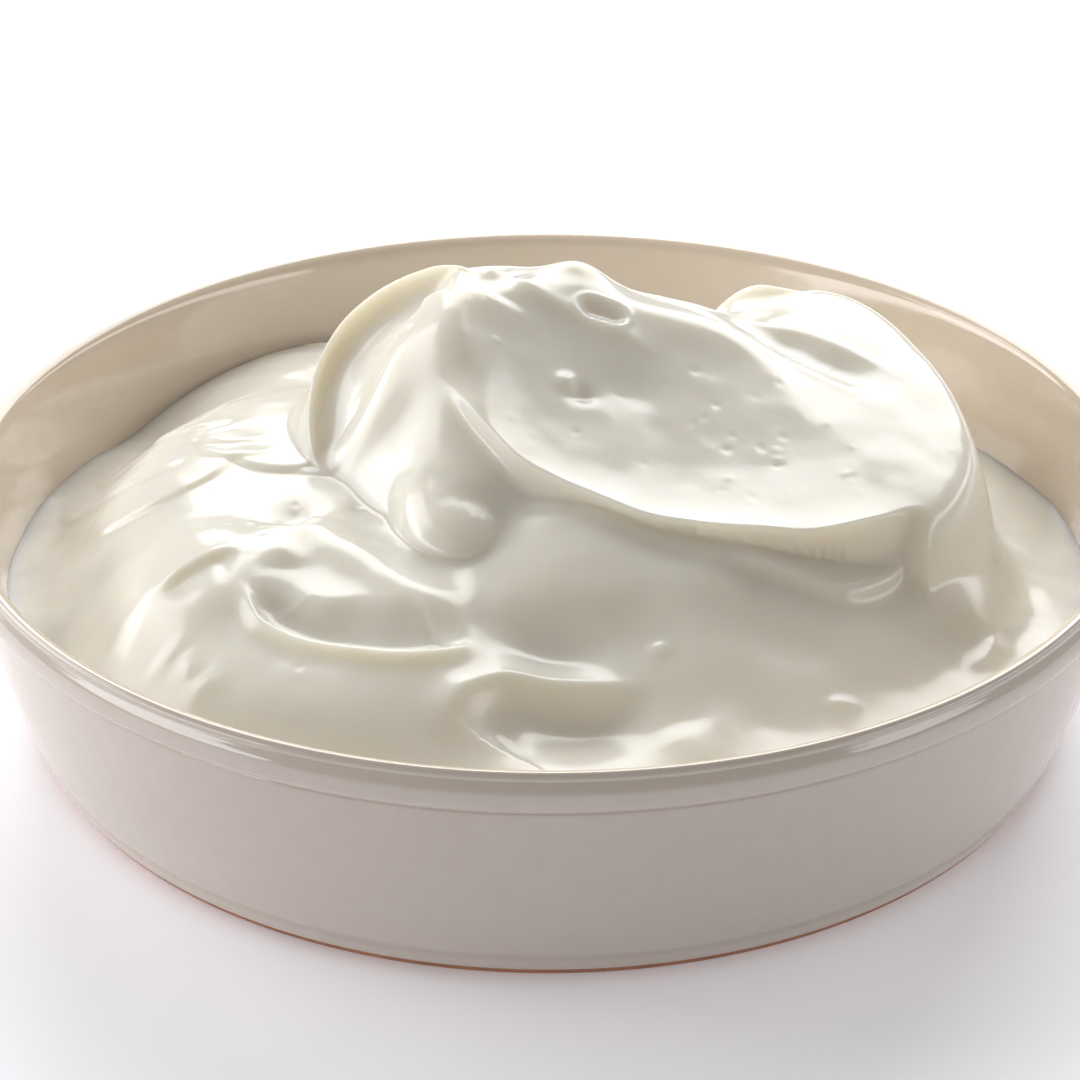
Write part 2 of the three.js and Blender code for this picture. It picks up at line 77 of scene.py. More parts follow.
def outside_profile():
    collar_bottom = DISH_HEIGHT - COLLAR_HEIGHT
    neck = RIM_RADIUS - COLLAR_PROUD - 0.4
    return [
        (FOOT_RADIUS, 0.0),
        (FOOT_RADIUS + 0.9, 0.5),
        (FOOT_RADIUS + 1.6, 1.5),
        (FOOT_RADIUS + 2.2, GROOVE_HEIGHT - 0.8),
        (FOOT_RADIUS + 2.45 - GROOVE_DEPTH, GROOVE_HEIGHT),
        (FOOT_RADIUS + 2.75, GROOVE_HEIGHT + 0.8),
        (FOOT_RADIUS + 4.4, 9.5),
        (FOOT_RADIUS + 5.9, 15.5),
        (FOOT_RADIUS + 6.9, 21.0),
        (neck, collar_bottom - 0.8),
        (neck - 0.1, collar_bottom),
        (RIM_RADIUS - 0.75, collar_bottom + 0.5),
        (RIM_RADIUS - 0.15, collar_bottom + 1.3),
        (RIM_RADIUS, collar_bottom + 2.3),
        (RIM_RADIUS - 0.1, DISH_HEIGHT - 1.9),
        (RIM_RADIUS - 0.5, DISH_HEIGHT - 1.1),
        (RIM_RADIUS - 0.65, DISH_HEIGHT - 0.8),
        (RIM_RADIUS - 0.65, DISH_HEIGHT - 0.5),
        (RIM_RADIUS - 0.85, DISH_HEIGHT - 0.15),
        (RIM_RADIUS - 0.5 * RIM_THICKNESS, DISH_HEIGHT),
    ]


def inside_profile():
    mouth = RIM_RADIUS - RIM_THICKNESS
    return [
        (mouth + 0.5, DISH_HEIGHT - 0.3),
        (mouth, DISH_HEIGHT - 1.0),
        (mouth - 0.7, DISH_HEIGHT - 3.2),
        (mouth - 1.6, DISH_HEIGHT - 6.5),
        (mouth - 2.7, DISH_HEIGHT - 10.5),
        (mouth - 3.8, DISH_HEIGHT - 14.5),
        (mouth - 5.2, DISH_HEIGHT - 18.5),
        (mouth - 7.6, DISH_HEIGHT - 22.0),
        (mouth - 11.4, FLOOR_THICKNESS + 1.5),
        (mouth - 16.0, FLOOR_THICKNESS + 0.3),
        (mouth - 20.0, FLOOR_THICKNESS),
    ]


def trace(points, per_span):
    """A smooth curve through a few points, as closely spaced stations."""
    p = np.array(points, float)
    held = np.vstack([2 * p[0] - p[1], p, 2 * p[-1] - p[-2]])
    t = np.linspace(0, 1, per_span, endpoint=False)[:, None]
    spans = []
    for a, b, c, d in zip(held[:-3], held[1:-2], held[2:-1], held[3:]):
        square = 2 * a - 5 * b + 4 * c - d
        cube = 3 * b - a - 3 * c + d
        spans.append(0.5 * (2 * b + (c - a) * t + square * t ** 2 + cube * t ** 3))
    return np.vstack(spans + [p[-1:]])


def add_mesh(name, places, faces, creased=()):
    """A smooth mesh; edges between two of the creased corners stay sharp."""
    mesh = bpy.data.meshes.new(name)
    mesh.from_pydata((np.asarray(places) * MM).tolist(), [], faces)
    mesh.update()
    mesh.shade_smooth()
    held = set(creased)
    for edge in mesh.edges:
        if held and edge.vertices[0] in held and edge.vertices[1] in held:
            edge.use_edge_sharp = True
    piece = bpy.data.objects.new(name, mesh)
    bpy.context.scene.collection.objects.link(piece)
    return piece


def revolve(name, profile, sides):
    """A closed solid turned from a profile, with a point on the axis at each end of it."""
    angle = np.arange(sides) * 2 * math.pi / sides
    rings = [np.stack([r * np.cos(angle), r * np.sin(angle), np.full(sides, z)], 1) for r, z in profile]
    places = np.vstack(rings + [[[0, 0, profile[0][1]]], [[0, 0, profile[-1][1]]]])
    last = (len(profile) - 1) * sides
    bottom = len(profile) * sides
    faces = []
    for i in range(sides):
        j = (i + 1) % sides
        for row in range(len(profile) - 1):
            k = row * sides
            faces.append((k + i, k + j, k + sides + j, k + sides + i))
        faces.append((bottom, j, i))
        faces.append((bottom + 1, last + i, last + j))
    return add_mesh(name, places, faces)


# Dollops of the upper heap, each after the width over which it blends into what it lies on
UPPER_DOLLOPS = [
    (2.0, dict(at=(-5.0, 5.0), radii=(24.0, 19.5), top=19.5, fall=14.0, power=1.5)),
    (2.0, dict(at=(6.0, 0.0), radii=(30.0, 30.0), top=16.3, fall=14.0, power=1.5)),
    (1.0, dict(at=(18.0, -20.0), radii=(13.0, 11.0), top=9.0, fall=6.0, power=2.0)),
    (1.8, dict(at=(-9.8, -19.0), radii=(8.2, 12.0), turn=14.0, top=7.0, fall=6.5, power=3.0,
               lean=(0.05, 0.06))),
]
# The lobe on the right: a gently bowed sheet, rounded off at its right and back
SHEET_AT = (35.0, 25.0)
SHEET_TOP = 12.0
SHEET_BOW = (60.0, 195.0)
SHEET_TILT = -0.05
LOBE_AT = (30.0, -8.0)
LOBE_ACROSS = 21.4
LOBE_FRONT = 23.5
LOBE_BACK = 43.0
LOBE_TOP = 17.0
LOBE_FALL = 18.0
LOBE_POWER = 2.2
LOBE_BLEND = 1.5
LOBE_JOIN = 2.0
# The big face, hollow like the bowl of a spoon
SPOON_AT = (27.0, -27.0)
SPOON_LOW = 5.3
SPOON_BOW = (130.0, 90.0)
SPOON_TWIST = 0.0012
SPOON_TILT = 0.14
SPOON_EDGE = 0.6
# Dollops of the lower heap, on the bed that fills the dish
LOWER_DOLLOPS = [
    (3.0, dict(at=(14.0, -14.0), radii=(41.0, 42.0), top=5.4, fall=19.0, power=1.0)),
    (4.0, dict(at=(4.0, -17.0), radii=(22.0, 24.0), top=5.0, fall=10.0, power=1.0)),
    (2.0, dict(at=(38.0, -16.0), radii=(16.5, 20.0), top=1.5, fall=12.0, power=1.0)),
    (4.0, dict(at=(-20.0, -32.0), radii=(28.0, 27.0), top=0.5, fall=9.0, power=1.5)),
    (5.0, dict(at=(-32.0, -2.0), radii=(22.0, 32.0), turn=-10.0, top=1.0, fall=9.0, power=1.5)),
    (4.0, dict(at=(-28.0, 36.0), radii=(20.0, 20.0), top=-8.2, fall=4.0, power=1.5)),
]

# Paths of the spoon's strokes
BIG_LIP = [
    (-12.6, -9.0), (-9.1, -13.5), (-5.9, -17.4), (-2.3, -20.6), (5.7, -24.2), (11.2, -26.5), (18.8, -27.8),
    (26.4, -28.0), (31.4, -27.3), (36.4, -25.5), (40.2, -23.6), (43.0, -23.2),
]
CREST = [(-5.0, 7.5), (-1.4, 4.3), (2.4, 2.6), (9.4, -0.2), (14.0, -2.5)]
HOLLOW_LIP = [
    (-26.5, -15.5), (-23.8, -18.8), (-19.6, -22.5), (-15.5, -26.3), (-11.3, -29.3), (-7.3, -30.0),
    (-4.0, -27.5),
]
THIRD_LIP = [
    (-32.9, -34.0), (-31.5, -38.4), (-29.7, -41.1), (-24.9, -44.1), (-17.2, -45.6), (-11.2, -44.9),
    (-7.2, -42.1),
]
LEFT_EDGE = [
    (-7.0, 7.5), (-13.0, 10.5), (-19.5, 10.0), (-24.8, 7.0), (-27.3, 2.0), (-27.6, -4.5), (-25.2, -11.0),
]
BAND = [(-10.3, 4.0), (-11.8, -2.5), (-11.9, -8.0), (-11.4, -13.5), (-10.0, -19.0), (-8.4, -24.0)]
RIGHT_VALLEY = [(16.0, 12.0), (21.0, 9.5), (29.0, 6.0), (36.0, 1.0), (41.0, -3.5)]
THIRD_CREST = [(-29.0, -18.5), (-24.5, -25.5), (-20.0, -30.5), (-13.5, -36.5), (-7.0, -39.5)]
FRONT_FOLD = [
    (-11.3, -53.5), (-10.6, -51.5), (-8.1, -48.8), (-4.1, -46.6), (0.6, -46.2), (7.3, -45.8), (11.9, -45.2),
]
BACK_LIP = [(34.0, 20.0), (22.0, 25.0), (8.0, 28.0), (-6.0, 27.0), (-17.0, 21.0)]
BACK_FOLD = [(42.0, 34.0), (26.0, 46.0), (6.0, 50.0), (-14.0, 48.0)]
RIGHT_FOLD = [(50.0, -30.0), (57.0, -12.0), (57.0, 8.0), (50.0, 24.0)]
FLAP_LIP = [
    (19.3, -30.3), (24.1, -30.3), (28.0, -31.0), (32.4, -31.2), (37.0, -28.0), (42.0, -22.5),
]
CHUNK_LIP = [(-44.0, -32.8), (-40.3, -30.6), (-36.8, -28.9), (-33.0, -28.2)]
FRONT_STREAK = [(9.5, -55.2), (13.5, -53.2), (17.5, -50.8), (22.8, -47.3)]
RIGHT_CRESCENT = [(28.5, -47.0), (31.0, -45.4), (34.0, -45.6)]
SIDE_CRESCENT = [(45.5, -36.5), (48.5, -32.5), (51.0, -27.0)]
SOFT_RIDGE = [(-29.5, -20.5), (-29.8, -26.0), (-28.5, -32.0)]


def smooth_max(a, b, width):
    return 0.5 * (a + b + np.hypot(a - b, width))


def smooth_min(a, b, width):
    return -smooth_max(-a, -b, width)


def ease(share):
    t = np.clip(share, 0, 1)
    return t * t * (3 - 2 * t)


def size_at(size, share):
    """A size that stays the same, or changes evenly along a stroke."""
    if np.ndim(size) == 0:
        return size
    return np.interp(share, np.linspace(0, 1, len(size)), size)


def fade(share, ends):
    """The strength of a stroke, which grows over its first part and dies away over its last."""
    start, end = ends
    rising = ease(share / start) if start > 0 else 1.0
    falling = ease((1 - share) / end) if end > 0 else 1.0
    return rising * falling


def beside(points, x, y):
    """Distance to the left of a curve, share along it, direction to its left, and its length."""
    curve = trace(points, STROKE_STATIONS)
    along = np.gradient(curve, axis=0)
    along /= np.linalg.norm(along, axis=1)[:, None]
    run = np.concatenate([[0], np.cumsum(np.linalg.norm(np.diff(curve, axis=0), axis=1))])
    nearest = np.zeros(len(x), int)
    for first in range(0, len(x), BATCH):
        part = slice(first, first + BATCH)
        gap = (x[part, None] - curve[None, :, 0]) ** 2 + (y[part, None] - curve[None, :, 1]) ** 2
        nearest[part] = gap.argmin(1)
    dx = x - curve[nearest, 0]
    dy = y - curve[nearest, 1]
    tx, ty = along[nearest].T
    share = (run[nearest] + dx * tx + dy * ty) / run[-1]
    return dy * tx - dx * ty, share, np.stack([-ty, tx]), run[-1]


# Brings the deepest point of a hollow face, a third of the way across it, to its full depth
HOLLOW_SCALE = 6.75
OVERHANG_REACH = 2.4
OVERHANG_EDGE = 0.8


def spoon_mark(x, y, path, ends, face, depth, lip, drop, reach, sharp, over, curl):
    """A hollow face on the left of a lip and a drop on the right, with the lip pushed out over the drop."""
    distance, share, left, _ = beside(path, x, y)
    strength = fade(share, ends)
    sizes = (depth, lip, drop, over, reach, sharp)
    depth, lip, drop, over, reach, sharp = (size_at(size, share) for size in sizes)
    across = np.clip(distance / size_at(face, share), 0, 1)
    hollow = HOLLOW_SCALE * across * (1 - across) ** 2
    on_face = lip * np.exp(-np.maximum(distance, 0) / curl) - depth * hollow
    below = (lip + drop) * np.exp(-(distance / sharp) ** 2) - drop * np.exp(-(distance / reach) ** 2)
    rise = np.where(distance >= 0, on_face, below) * strength
    near_lip = distance / np.where(distance >= 0, OVERHANG_REACH, OVERHANG_EDGE * sharp)
    push = -over * strength * np.exp(-near_lip ** 2)
    return rise, push * left[0], push * left[1]


CREST_SOFTNESS = 0.14
CREST_FALL = 1.7


def ridge(x, y, path, ends, height, left, right):
    """A raised line that falls away over its two widths."""
    distance, share, _, _ = beside(path, x, y)
    across = np.where(distance >= 0, distance / left, -distance / right)
    fall = np.hypot(across, CREST_SOFTNESS) - CREST_SOFTNESS
    return size_at(height, share) * fade(share, ends) * np.exp(-CREST_FALL * fall), 0, 0


def roll(x, y, path, ends, height, left, right):
    """A round-backed roll of cream along a line."""
    distance, share, _, _ = beside(path, x, y)
    across = np.where(distance >= 0, distance / left, distance / right)
    return size_at(height, share) * fade(share, ends) * np.exp(-across ** 2), 0, 0


EDGE_PLACE = 1.2
EDGE_WIDTH = 0.3
GROOVE_FALL = 1.5


def furrow(x, y, path, ends, depth, width, edge):
    """A groove with round ends and raised edges."""
    distance, share, _, length = beside(path, x, y)
    past = np.maximum(np.maximum(-share, share - 1), 0) * length
    held = np.clip(share, 0, 1)
    across = np.hypot(distance, past) / size_at(width, held)
    rim = size_at(edge, held) * np.exp(-((across - EDGE_PLACE) / EDGE_WIDTH) ** 2)
    groove = size_at(depth, held) * np.exp(-GROOVE_FALL * across ** 2)
    return fade(held, ends) * (rim - groove), 0, 0


def oval_reach(x, y, at, radii, turn):
    """The squared distance from the middle of a turned oval, 1 on the oval itself."""
    c, s = math.cos(math.radians(turn)), math.sin(math.radians(turn))
    dx, dy = x - at[0], y - at[1]
    return ((dx * c + dy * s) / radii[0]) ** 2 + ((dy * c - dx * s) / radii[1]) ** 2


def knob(x, y, at, radii, height, turn=0.0, power=2.0):
    """A rounded knob, or a dent where the height is negative."""
    return height * np.exp(-oval_reach(x, y, at, radii, turn) ** (power / 2)), 0, 0


UPPER_STROKES = [
    (spoon_mark, dict(path=BIG_LIP, ends=(0.12, 0.2), face=12.0, depth=0.0, curl=2.2,
                      lip=(0.3, 0.5, 0.6, 0.8, 0.7, 0.3), drop=(0.8, 2, 8, 22, 24, 14),
                      reach=(5, 7, 14, 22, 24, 16), sharp=(0.9, 0.9, 1.0, 1.2, 1.3, 1.5),
                      over=(0.3, 0.7, 1.1, 1.2, 1.1, 0.6))),
    (ridge, dict(path=CREST, ends=(0.15, 0.3), height=0.7, left=4.0, right=1.6)),
    (spoon_mark, dict(path=LEFT_EDGE, ends=(0.2, 0.15), face=(6, 11, 14, 13, 10),
                      depth=(1.2, 3.0, 3.8, 3.6, 2.6), lip=(0.5, 1.4, 2.0, 1.9, 1.0), curl=2.2,
                      drop=0.4, reach=3.0, sharp=1.3, over=0.3)),
    (roll, dict(path=BAND, ends=(0.06, 0.12), height=(1.3, 1.8, 1.5, 0.3), left=5.5, right=3.4)),
    (spoon_mark, dict(path=HOLLOW_LIP, ends=(0.2, 0.2), face=7.0, depth=(0.6, 0.4, 0.0, 0.0), curl=2.0,
                      lip=(0.8, 0.7, 0.3, 0.3), drop=5.0, reach=8.0, sharp=1.1, over=0.6)),
    (spoon_mark, dict(path=BACK_LIP, ends=(0.2, 0.2), face=(10, 14, 14, 10), depth=1.8, lip=0.6, curl=2.5,
                      drop=2.2, reach=6.0, sharp=0.9, over=0.4)),
    (furrow, dict(path=RIGHT_VALLEY, ends=(0.3, 0.3), depth=0.8, width=3.0, edge=0.2)),
    (knob, dict(at=(4.0, 11.5), radii=(4.2, 3.2), height=2.0)),
    (furrow, dict(path=[(5.3, 3.2), (7.5, 2.8)], ends=(0, 0), depth=0.8, width=1.7, edge=0.3)),
    (knob, dict(at=(2.2, -7.6), radii=(1.2, 1.2), height=0.8)),
    (knob, dict(at=(3.8, -8.4), radii=(1.6, 1.4), height=-0.8)),
    (knob, dict(at=(9.0, -6.5), radii=(4.5, 3.2), height=-0.6)),
    (knob, dict(at=(-10.6, 3.0), radii=(1.0, 0.8), height=-0.6)),
    (knob, dict(at=(-6.8, 8.2), radii=(1.6, 1.6), height=0.8)),
    (knob, dict(at=(-10.9, 8.0), radii=(1.4, 1.8), height=0.6)),
]
LOWER_STROKES = [
    (spoon_mark, dict(path=THIRD_LIP, ends=(0.15, 0.15), face=(6, 7, 9, 9, 7),
                      depth=(1, 1.8, 2.2, 2, 1.2), lip=0.35, curl=1.6,
                      drop=(0.5, 0.6, 0.5, 0.3), reach=6.0, sharp=1.3, over=0.15)),
    (spoon_mark, dict(path=BACK_FOLD, ends=(0.25, 0.25), face=10.0, depth=0.8, lip=0.8, curl=2.5,
                      drop=0.8, reach=5.0, sharp=1.2, over=0.3)),
    (roll, dict(path=RIGHT_FOLD, ends=(0.3, 0.3), height=0.4, left=6.0, right=5.0)),
    (roll, dict(path=THIRD_CREST, ends=(0.2, 0.2), height=1.1, left=3.4, right=2.6)),
    (spoon_mark, dict(path=FRONT_FOLD, ends=(0.3, 0.3), face=7.0, depth=0.3, lip=0.8, curl=2.6,
                      drop=2.2, reach=7.0, sharp=2.0, over=0.2)),
    (spoon_mark, dict(path=FLAP_LIP, ends=(0.15, 0.25), face=5.5, depth=0.1, lip=0.5, curl=2.4,
                      drop=1.0, reach=6.0, sharp=1.0, over=0.4)),
    (knob, dict(at=(14.5, -29.5), radii=(9.0, 4.5), height=-0.6, turn=-8.0)),
    (knob, dict(at=(1.5, -41.0), radii=(8.5, 3.4), height=-2.0, turn=4.0)),
    (knob, dict(at=(-39.0, -29.0), radii=(9.0, 9.5), height=2.4, turn=25.0, power=3.0)),
    (spoon_mark, dict(path=CHUNK_LIP, ends=(0.3, 0.3), face=5.0, depth=0.0, lip=0.4, curl=2.0,
                      drop=0.8, reach=5.0, sharp=1.3, over=0.2)),
    (roll, dict(path=SOFT_RIDGE, ends=(0.3, 0.3), height=0.9, left=2.4, right=2.4)),
    (roll, dict(path=FRONT_STREAK, ends=(0.4, 0.4), height=0.6, left=2.4, right=3.6)),
    (ridge, dict(path=RIGHT_CRESCENT, ends=(0.4, 0.4), height=0.35, left=0.9, right=2.4)),
    (ridge, dict(path=SIDE_CRESCENT, ends=(0.4, 0.4), height=0.6, left=1.6, right=2.6)),
    (knob, dict(at=(-40.7, -42.0), radii=(2.2, 1.3), height=0.4, turn=50.0)),
    (knob, dict(at=(-38.2, -44.5), radii=(1.3, 1.9), height=0.35)),
    (knob, dict(at=(-36.0, -47.5), radii=(1.9, 1.3), height=0.3, turn=20.0)),
    (knob, dict(at=(-28.8, -19.0), radii=(2.4, 3.0), height=-0.9)),
    (knob, dict(at=(11.8, -41.8), radii=(1.1, 0.9), height=0.5)),
    (knob, dict(at=(2.5, -51.0), radii=(11.0, 4.5), height=-0.8, turn=4.0)),
    (knob, dict(at=(-9.6, -51.0), radii=(2.6, 3.6), height=0.9, turn=-20.0)),
    (knob, dict(at=(24.0, -38.5), radii=(9.0, 4.0), height=-1.2, turn=-8.0)),
]
# Lips along which the mesh is drawn closer together, with the share and the width of the pull
GATHERED_LIPS = [
    (BIG_LIP, 0.65, 2.6),
    (HOLLOW_LIP, 0.5, 2.2),
    (THIRD_LIP, 0.5, 2.2),
    (LEFT_EDGE, 0.45, 2.6),
    (BACK_LIP, 0.5, 2.2),
]
GATHER_ENDS = (0.06, 0.06)


def bed(x, y):
    """The cream that fills the dish under the heap, highest at the front and in the middle."""
    from_middle = np.clip(np.hypot(x, y) / LEVEL_RADIUS, 0, 1)
    toward_front = 0.5 - 0.5 * y / LEVEL_RADIUS
    return BED_BACK + BED_FRONT_RISE * toward_front + BED_MIDDLE_RISE * (1 - from_middle ** 2)


def lobe(x, y):
    """The sheet of cream on the right."""
    dx, dy = x - SHEET_AT[0], y - SHEET_AT[1]
    sheet = SHEET_TOP + SHEET_TILT * dx - dx ** 2 / (2 * SHEET_BOW[0]) - dy ** 2 / (2 * SHEET_BOW[1])
    along = np.where(y < LOBE_AT[1], LOBE_FRONT, LOBE_BACK)
    dome = LOBE_TOP - LOBE_FALL * oval_reach(x, y, LOBE_AT, (LOBE_ACROSS, along), 0.0) ** LOBE_POWER
    return smooth_min(sheet, dome, LOBE_BLEND)


def spoon_face(x, y):
    """The hollow that the spoon leaves behind the big lip."""
    dx, dy = x - SPOON_AT[0], y - SPOON_AT[1]
    bowed = dx ** 2 / (2 * SPOON_BOW[0]) + dy ** 2 / (2 * SPOON_BOW[1])
    return SPOON_LOW + SPOON_TILT * dy - SPOON_TWIST * dx * dy + bowed


def dollop(x, y, at, radii, top, fall, power, turn=0.0, lean=(0.0, 0.0)):
    """The height of one dollop: it falls away from its middle, and may rise to the right and to the back."""
    reach = oval_reach(x, y, at, radii, turn)
    return top + lean[0] * (x - at[0]) + lean[1] * (y - at[1]) - fall * reach ** power


def heaped(height, dollops, x, y):
    """Dollops run together over what they lie on."""
    for blend, sizes in dollops:
        height = smooth_max(height, dollop(x, y, **sizes), blend)
    return height


def upper_form(x, y):
    height = heaped(np.full_like(x, -DISH_HEIGHT), UPPER_DOLLOPS, x, y)
    return smooth_min(smooth_max(height, lobe(x, y), LOBE_JOIN), spoon_face(x, y), SPOON_EDGE)


def lower_form(x, y):
    return heaped(bed(x, y), LOWER_DOLLOPS, x, y)


def worked(height, strokes, x, y):
    """A layer of cream after the spoon's strokes, with the sideways push of its lips."""
    dx = np.zeros_like(x)
    dy = np.zeros_like(x)
    for work, sizes in strokes:
        rise, right, away = work(x, y, **sizes)
        height = height + rise
        dx = dx + right
        dy = dy + away
    return height, dx, dy


# Fine relief: waves, thin flaps left by the spoon, bubbles and pits
RELIEF_SEED = 4
WAVES = [(11.0, 0.30), (5.5, 0.13), (2.6, 0.05)]
WAVE_GRID = 64
# The big face is smoother than the rest, up to its edge and back from its lip
SMOOTH_FACE_SHARE = 0.3
SMOOTH_FACE_EDGE = 1.5
SMOOTH_FROM = (-8.0, -30.0)
SMOOTH_FADE = 4.0
FLAP_FIELDS = [
    ((-40.0, 5.0), (14.0, 15.0), 11),
    ((0.0, 42.0), (40.0, 12.0), 8),
]
FLAP_LENGTH = (5.0, 10.0)
FLAP_WIDTH = (3.5, 6.5)
FLAP_HEIGHT = (0.2, 0.5)
FLAP_EDGE = 0.22
FLAP_TURN = (math.pi, 0.6)
SPOT_FIELDS = [
    ((22.0, -18.0), (16.0, 9.0), 26),
    ((30.0, -8.0), (14.0, 12.0), 18),
    ((-4.0, -8.0), (10.0, 14.0), 14),
    ((-36.0, -20.0), (18.0, 22.0), 26),
    ((0.0, -46.0), (34.0, 10.0), 20),
    ((0.0, 0.0), (60.0, 60.0), 60),
]
SPOT_RADIUS = (0.32, 0.55)
SPOT_HEIGHT = (-0.12, 0.10)


def waves(x, y, chance, length):
    """Smooth random waves of about one length, from a grid of random heights."""
    grid = chance.uniform(-1, 1, (WAVE_GRID, WAVE_GRID))
    u, v = x / length + WAVE_GRID / 2, y / length + WAVE_GRID / 2
    i, j = np.floor(u).astype(int), np.floor(v).astype(int)
    s, t = ease(u - i), ease(v - j)
    i, j = i % WAVE_GRID, j % WAVE_GRID
    near = grid[i, j] * (1 - s) + grid[(i + 1) % WAVE_GRID, j] * s
    far = grid[i, (j + 1) % WAVE_GRID] * (1 - s) + grid[(i + 1) % WAVE_GRID, (j + 1) % WAVE_GRID] * s
    return near * (1 - t) + far * t


def flap(x, y, at, length, width, turn, height):
    """A thin sheet of cream that thickens towards one crisp edge."""
    c, s = math.cos(turn), math.sin(turn)
    u = ((x - at[0]) * c + (y - at[1]) * s) / length
    v = ((y - at[1]) * c - (x - at[0]) * s) / width
    inside = ease((1 - np.hypot(u, v)) / FLAP_EDGE)
    return height * inside * ease(0.5 * (v + 1))


def scattered(chance, fields):
    """Random places in oval fields, each given by its middle, its half sizes and a number of places."""
    for middle, half, count in fields:
        for _ in range(count):
            yield np.array(middle) + chance.normal(0, 0.5, 2) * half


def fine_relief(x, y):
    chance = np.random.default_rng(RELIEF_SEED)
    rise = np.zeros_like(x)
    for length, height in WAVES:
        rise += height * waves(x, y, chance, length)
    off_face = ease((spoon_face(x, y) + SMOOTH_FACE_EDGE - upper_form(x, y)) / SMOOTH_FACE_EDGE)
    behind_lip = ease((x - SMOOTH_FROM[0]) / SMOOTH_FADE) * ease((y - SMOOTH_FROM[1]) / SMOOTH_FADE)
    rise *= 1 - (1 - SMOOTH_FACE_SHARE) * (1 - off_face) * behind_lip
    for at in scattered(chance, FLAP_FIELDS):
        length, width = chance.uniform(*FLAP_LENGTH), chance.uniform(*FLAP_WIDTH)
        rise += flap(x, y, at, length, width, chance.normal(*FLAP_TURN), chance.uniform(*FLAP_HEIGHT))
    for at in scattered(chance, SPOT_FIELDS):
        radius = chance.uniform(*SPOT_RADIUS)
        rise += knob(x, y, at, (radius, radius), chance.uniform(*SPOT_HEIGHT))[0]
    return rise


def surface(x, y):
    """The place on the cream that belongs to each point of a flat disc."""
    for path, pull, width in GATHERED_LIPS:
        distance, share, left, _ = beside(path, x, y)
        shift = -pull * distance * np.exp(-(distance / width) ** 2) * fade(share, GATHER_ENDS)
        x = x + shift * left[0]
        y = y + shift * left[1]
    upper, ux, uy = worked(upper_form(x, y), UPPER_STROKES, x, y)
    lower, lx, ly = worked(lower_form(x, y), LOWER_STROKES, x, y)
    share = ease(0.5 + (upper - lower) / LAYER_CHANGE)
    height = DISH_HEIGHT + smooth_max(upper, lower, LAYER_BLEND) + fine_relief(x, y)
    return x + ux * share + lx * (1 - share), y + uy * share + ly * (1 - share), height


def disc_rings(rings):
    """Polar places of a disc of rings of triangles, and its triangles."""
    radius = np.concatenate([[0]] + [np.full(6 * k, k / rings) for k in range(1, rings + 1)])
    angle = np.concatenate([[0]] + [np.arange(6 * k) * math.pi / (3 * k) for k in range(1, rings + 1)])
    faces = []
    for k in range(1, rings + 1):
        outer = 1 + 3 * k * (k - 1)
        inner = 1 + 3 * (k - 1) * (k - 2) if k > 1 else 0
        for side in range(6):
            for i in range(k):
                near = inner + ((side * (k - 1) + i) % (6 * (k - 1)) if k > 1 else 0)
                ahead = outer + (side * k + i + 1) % (6 * k)
                faces.append((near, outer + side * k + i, ahead))
                if i + 1 < k:
                    faces.append((near, ahead, inner + (side * (k - 1) + i + 1) % (6 * (k - 1))))
    return radius, angle, faces


def make_cream():
    """The cream as one closed mesh: the worked top, and an underside that follows the inside of the dish."""
    wall = np.array(inside_profile())
    heights = wall[::-1, 1]
    radii = wall[::-1, 0] - WALL_CONTACT
    radius, angle, faces = disc_rings(CREAM_RINGS)
    around = 6 * CREAM_RINGS
    rim = slice(-around, None)
    edge_angle = angle[rim]
    _, _, level = surface(LEVEL_RADIUS * np.cos(edge_angle), LEVEL_RADIUS * np.sin(edge_angle))
    edge = np.interp(level, heights, radii)
    reach = radius * np.interp(angle, edge_angle, edge, period=2 * math.pi)
    x, y, z = surface(reach * np.cos(angle), reach * np.sin(angle))
    rim_radius = np.interp(z[rim], heights, radii)
    x[rim] = rim_radius * np.cos(edge_angle)
    y[rim] = rim_radius * np.sin(edge_angle)
    places = [np.stack([x, y, z], 1)]
    # Rings down the wall, the first of them joined to the edge of the top
    first_edge = len(x) - around
    per_side = around // UNDERSIDE_SIDES
    turn = np.arange(UNDERSIDE_SIDES) * 2 * math.pi / UNDERSIDE_SIDES
    rows = [(float(np.interp(UNDERSIDE_TOP, heights, radii)), UNDERSIDE_TOP)]
    rows += [(r - WALL_CONTACT, z_low + WALL_CONTACT) for r, z_low in wall if z_low < UNDERSIDE_TOP]
    first = len(x)
    for row, (r, z_low) in enumerate(rows):
        places.append(np.stack([r * np.cos(turn), r * np.sin(turn), np.full(UNDERSIDE_SIDES, z_low)], 1))
        for i in range(UNDERSIDE_SIDES):
            j = (i + 1) % UNDERSIDE_SIDES
            if row == 0:
                for k in range(per_side):
                    here = first_edge + per_side * i + k
                    ahead = first_edge + (per_side * i + k + 1) % around
                    faces.append((here, first + (i if 2 * k < per_side else j), ahead))
                faces.append((first + i, first + j, first_edge + per_side * i + (per_side + 1) // 2))
            else:
                above = first - UNDERSIDE_SIDES
                faces.append((above + i, first + i, first + j))
                faces.append((above + i, first + j, above + j))
        first += UNDERSIDE_SIDES
    places.append([[0, 0, FLOOR_THICKNESS + WALL_CONTACT]])
    last = first - UNDERSIDE_SIDES
    for i in range(UNDERSIDE_SIDES):
        faces.append((last + i, first, last + (i + 1) % UNDERSIDE_SIDES))
    return add_mesh("cream_heap", np.vstack(places), faces, range(first_edge, first_edge + around))


def material(name, colour, roughness):
    made = bpy.data.materials.new(name)
    made.use_nodes = True
    shader = made.node_tree.nodes["Principled BSDF"]
    shader.inputs["Base Color"].default_value = (*colour, 1)
    shader.inputs["Roughness"].default_value = roughness
    return made, made.node_tree, shader


